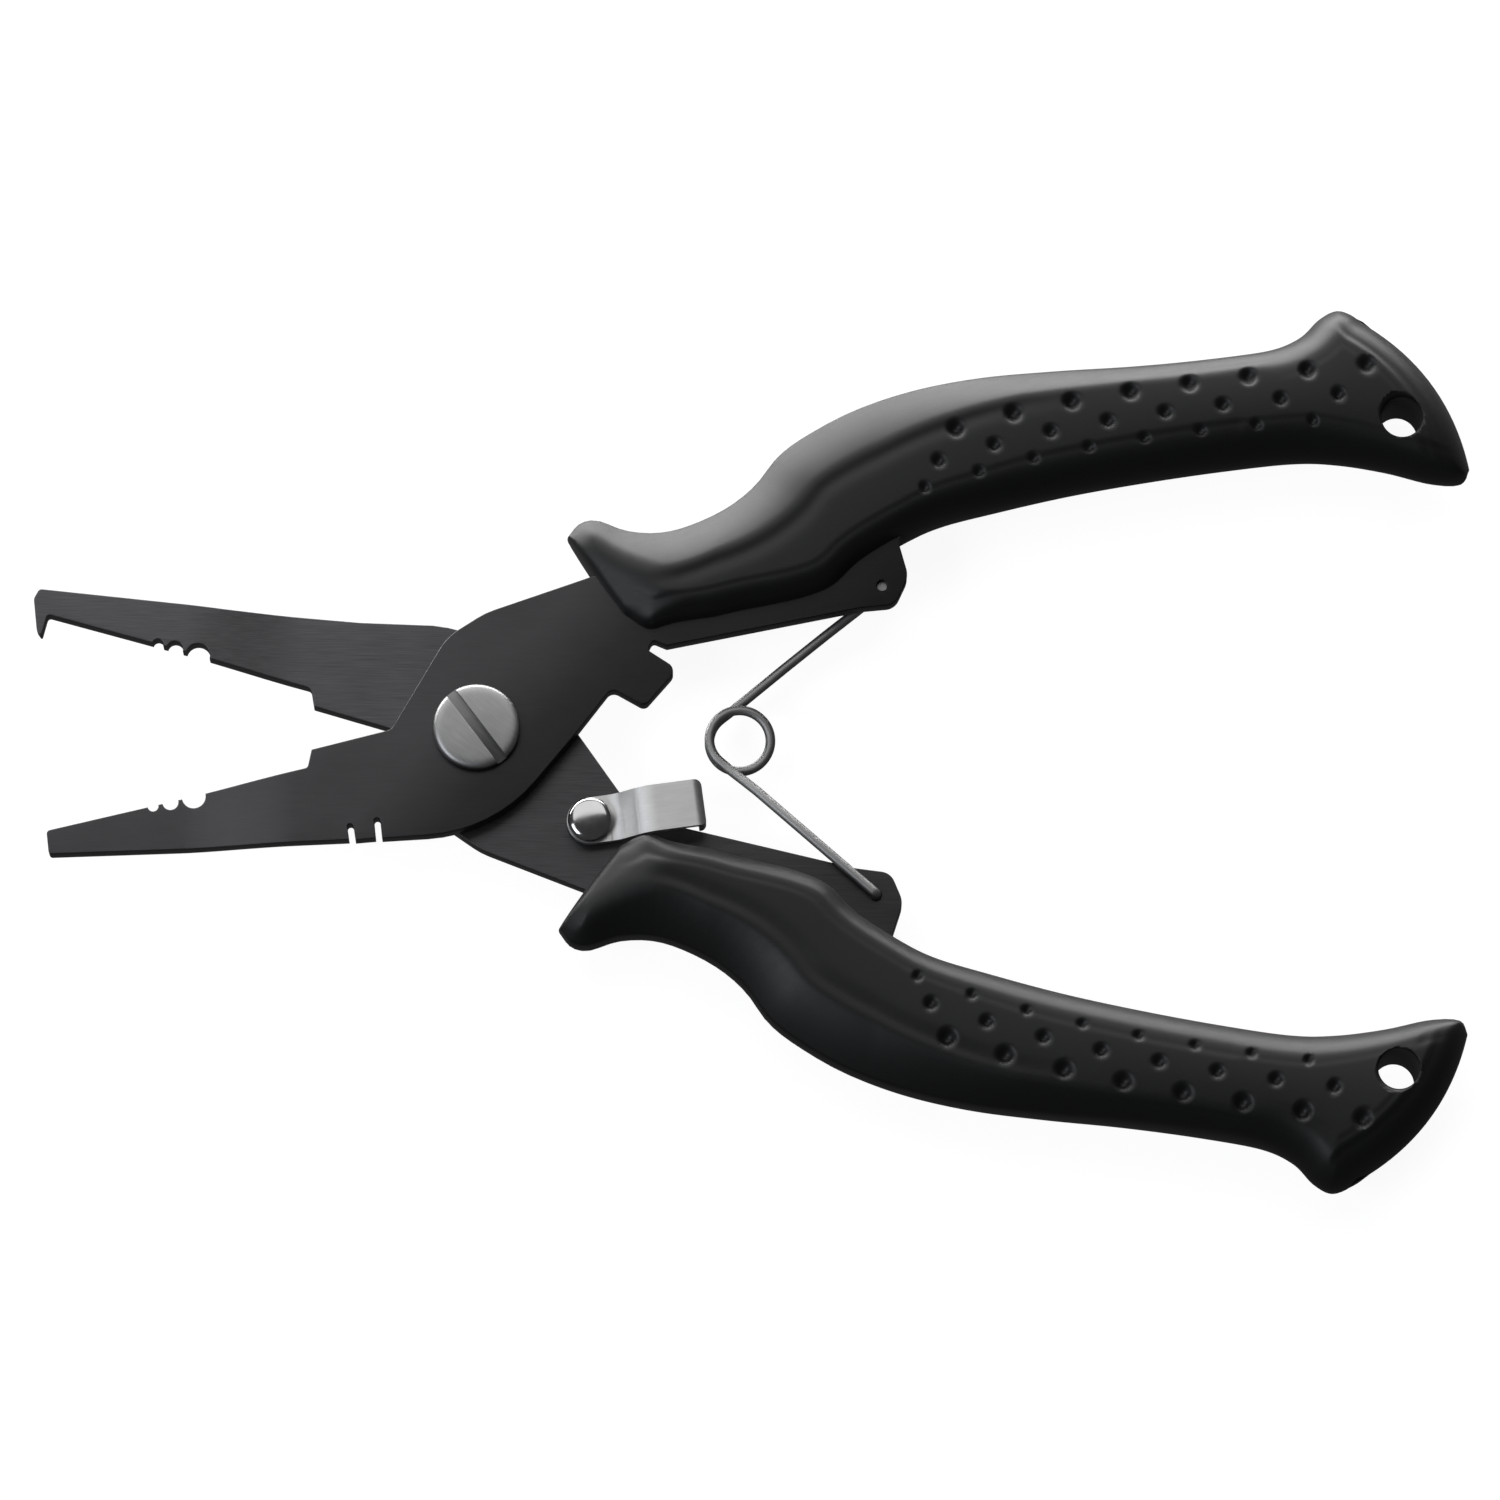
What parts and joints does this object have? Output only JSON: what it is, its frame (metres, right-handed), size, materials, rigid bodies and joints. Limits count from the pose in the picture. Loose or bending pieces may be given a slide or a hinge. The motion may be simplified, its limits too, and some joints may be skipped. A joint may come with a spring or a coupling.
{
  "type": "fishing pliers",
  "caption": "Spring-opened fishing pliers with a split-ring beak, crimping notches, a line-cutting throat, a side lock lever and dimpled moulded grips",
  "frame": {"origin": "centre of the footprint on the surface that the pliers lie on, back down", "axes": "+X from the jaws to the handles along the tool, +Y towards the upper handle, +Z out of the front face; the pivot's axis is vertical at x = -31.39 mm"},
  "size_m": [0.1658, 0.104, 0.0115],
  "materials": {
    "coated_steel_front": "satin black coating",
    "coated_steel_rear": "satin black coating",
    "grip": "satin",
    "bright_steel": "satin",
    "dark_steel": "satin",
    "brushed_lever": "brushed",
    "spring_wire": "drawn wire"
  },
  "bodies": {
    "rear_half": {"rear_blade": "coated_steel_rear", "lower_grip": "grip", "pivot_screw": "bright_steel", "pivot_washer": "bright_steel", "pivot_nut": "dark_steel", "lever_rivet": "bright_steel", "lever_washer": "bright_steel", "rivet_washer": "bright_steel"},
    "front_half": {"front_blade": "coated_steel_front", "upper_grip": "grip"},
    "lever": {"lock_lever": "brushed_lever"},
    "spring_lower": {"spring_lower_arm": "spring_wire"},
    "spring_upper": {"spring_upper_arm": "spring_wire"}
  },
  "joints": [
    {"name": "jaw_hinge", "type": "hinge", "parent": "rear_half", "child": "front_half", "pos_m": [-0.03139, 0, 0.00575], "axis": [0, 0, -1], "range_deg": [0, 28.5], "stiffness_Nm_per_rad": 1.7, "springref_deg": -5.73},
    {"name": "lever_hinge", "type": "hinge", "parent": "rear_half", "child": "lever", "pos_m": [-0.01809, -0.01035, 0.00575], "axis": [0, 0, 1], "range_deg": [0, 24]},
    {"name": "spring_ear_hinge", "type": "hinge", "parent": "rear_half", "child": "spring_lower", "pos_m": [0.01491, -0.0182, 0.00575], "axis": [0, 0, 1], "range_deg": [0, 19.2]},
    {"name": "spring_coil_hinge", "type": "hinge", "parent": "spring_lower", "child": "spring_upper", "pos_m": [-0.00109, 0, 0.00575], "axis": [0, 0, -1], "range_deg": [0, 67.6]}
  ],
  "couplings": [
    {"joint": "spring_ear_hinge", "follows": "jaw_hinge", "ratio": 0.6716},
    {"joint": "spring_coil_hinge", "follows": "jaw_hinge", "ratio": 2.371}
  ]
}
